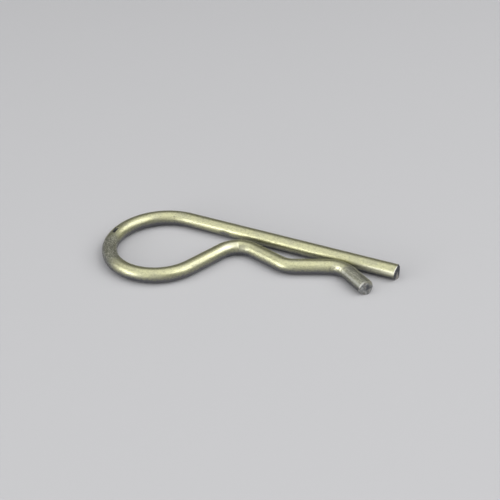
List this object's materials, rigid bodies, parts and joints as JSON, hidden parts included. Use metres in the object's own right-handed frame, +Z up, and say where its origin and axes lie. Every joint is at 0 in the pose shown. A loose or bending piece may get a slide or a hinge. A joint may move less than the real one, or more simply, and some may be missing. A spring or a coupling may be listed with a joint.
{
  "type": "hairpin cotter pin",
  "caption": "Hairpin cotter bent from one round spring wire: a straight leg, a round eye and a wavy sprung leg that snaps over a shaft.",
  "frame": {"origin": "on the surface that the pin lies on, under the middle of its box", "axes": "+X along the straight leg towards its free end, +Y from the sprung leg to the straight leg, +Z up, square to the plane of the bends"},
  "size_m": [0.0766, 0.0316, 0.004],
  "materials": {
    "wire": "satin zinc-plated spring steel with a yellowish cast, rough grey where it was cut"
  },
  "bodies": {
    "root": {"hairpin_cotter": "wire"}
  },
  "joints": []
}
